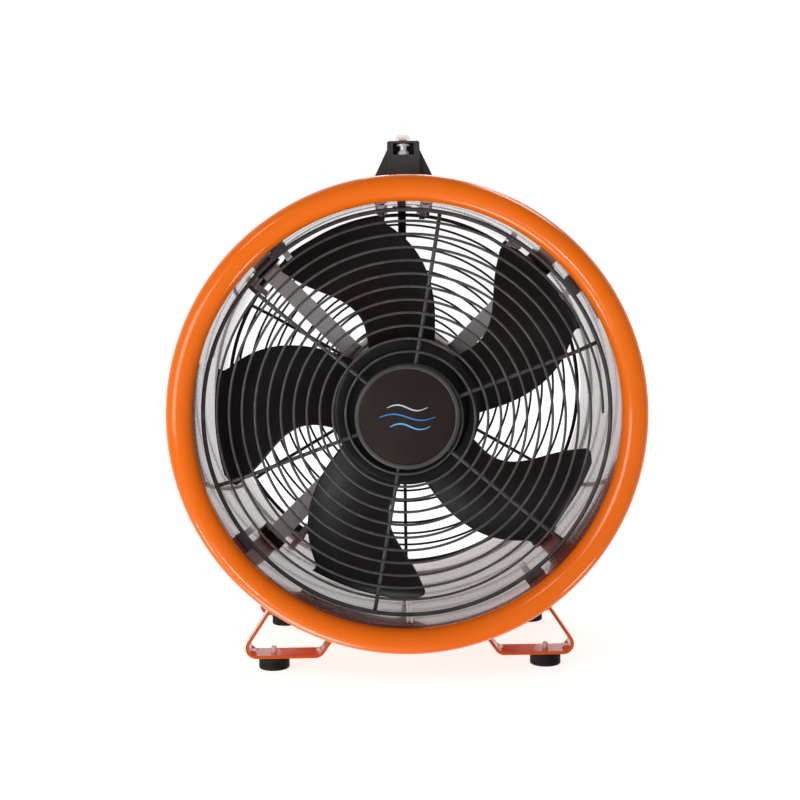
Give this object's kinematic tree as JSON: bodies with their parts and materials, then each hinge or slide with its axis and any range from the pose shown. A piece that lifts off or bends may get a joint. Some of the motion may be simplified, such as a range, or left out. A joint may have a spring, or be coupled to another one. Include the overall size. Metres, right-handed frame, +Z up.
{
  "type": "axial air mover",
  "caption": "Portable axial air mover: round steel drum with rolled rims, wire guards at both ends, sickle-bladed fan on a motor, top carrying handle with rocker switch, strap feet.",
  "frame": {"origin": "on the floor, in the middle of the four feet, under the middle of the drum", "axes": "+Z up, the fan axis along Y with the intake and its badge facing -Y, +X to the right as seen from the intake"},
  "size_m": [0.355, 0.2654, 0.4096],
  "materials": {
    "orange_paint": "gloss enamel, orange",
    "guard_black": "satin black powder coat on steel wire",
    "cap_plastic": "satin dark grey moulding",
    "badge_film": "dark brown printed disc",
    "fan_black": "satin black moulding",
    "zinc_steel": "zinc-plated steel",
    "dark_steel": "black oxide steel",
    "motor_paint": "semi-matt black paint",
    "motor_alloy": "die-cast aluminium",
    "core_steel": "laminated electrical steel",
    "copper_winding": "enamelled copper wire",
    "brass_bush": "turned brass",
    "bearing_steel": "ground bearing steel",
    "black_rubber": "moulded black rubber",
    "handle_plastic": "textured black moulding",
    "switch_black": "moulded black plastic",
    "rocker_red": "translucent red moulding",
    "cover_clear": "clear soft splash cover",
    "capacitor_case": "pale plastic case",
    "gland_nylon": "black nylon"
  },
  "bodies": {
    "housing": {"drum_wall": "orange_paint", "front_rim": "orange_paint", "rear_rim": "orange_paint", "front_guard_spiral": "guard_black", "front_guard_spokes": "guard_black", "front_guard_hoop": "guard_black", "rear_guard_spiral": "guard_black", "rear_guard_spokes": "guard_black", "rear_guard_hoop": "guard_black", "front_cap": "cap_plastic", "front_cap_badge": "badge_film", "rear_cap": "cap_plastic", "cap_backplates": "cap_plastic", "cap_screws": "zinc_steel", "guard_clips": "dark_steel", "clip_tabs": "zinc_steel", "bearing_outer_rings": "bearing_steel", "motor_casing": "motor_paint", "motor_front_shield": "motor_alloy", "motor_rear_shield": "motor_alloy", "stator_core": "core_steel", "stator_windings": "copper_winding", "motor_arm_upper_right": "zinc_steel", "motor_arm_upper_left": "zinc_steel", "motor_arm_lower_left": "zinc_steel", "motor_arm_lower_right": "zinc_steel", "arm_mount_pads": "black_rubber", "casing_screws": "dark_steel", "drum_bolts": "dark_steel", "hexagon_nuts": "zinc_steel", "run_capacitor": "capacitor_case", "motor_lead": "black_rubber", "lead_grommets": "black_rubber", "handle_body": "handle_plastic", "grip_underplate": "handle_plastic", "underplate_screws": "zinc_steel", "handle_bolts": "dark_steel", "window_bolt": "zinc_steel", "cable_gland": "gland_nylon", "gland_nut": "gland_nylon", "switch_body": "switch_black", "switch_cover": "cover_clear", "foot_studs": "zinc_steel", "foot_strap_front_left": "orange_paint", "rubber_foot_front_left": "black_rubber", "foot_strap_front_right": "orange_paint", "rubber_foot_front_right": "black_rubber", "foot_strap_rear_left": "orange_paint", "rubber_foot_rear_left": "black_rubber", "foot_strap_rear_right": "orange_paint", "rubber_foot_rear_right": "black_rubber"},
    "fan_rotor": {"impeller": "fan_black", "hub_insert": "brass_bush", "motor_shaft": "zinc_steel", "shaft_nut": "zinc_steel", "rotor_core": "core_steel", "bearing_inner_rings": "bearing_steel"},
    "bearing_ball_sets": {"bearing_balls": "bearing_steel", "bearing_cages": "brass_bush"},
    "rocker": {"switch_rocker": "rocker_red"}
  },
  "joints": [
    {"name": "fan_spin", "type": "hinge", "parent": "housing", "child": "fan_rotor", "pos_m": [0, 0, 0.2], "axis": [0, -1, 0], "continuous": true},
    {"name": "ball_orbit", "type": "hinge", "parent": "housing", "child": "bearing_ball_sets", "pos_m": [0, 0, 0.2], "axis": [0, -1, 0], "continuous": true},
    {"name": "switch_rock", "type": "hinge", "parent": "housing", "child": "rocker", "pos_m": [0, -0.058, 0.4016], "axis": [1, 0, 0], "range_deg": [-17.8, 0]}
  ],
  "couplings": [
    {"joint": "ball_orbit", "follows": "fan_spin", "ratio": 0.366}
  ]
}
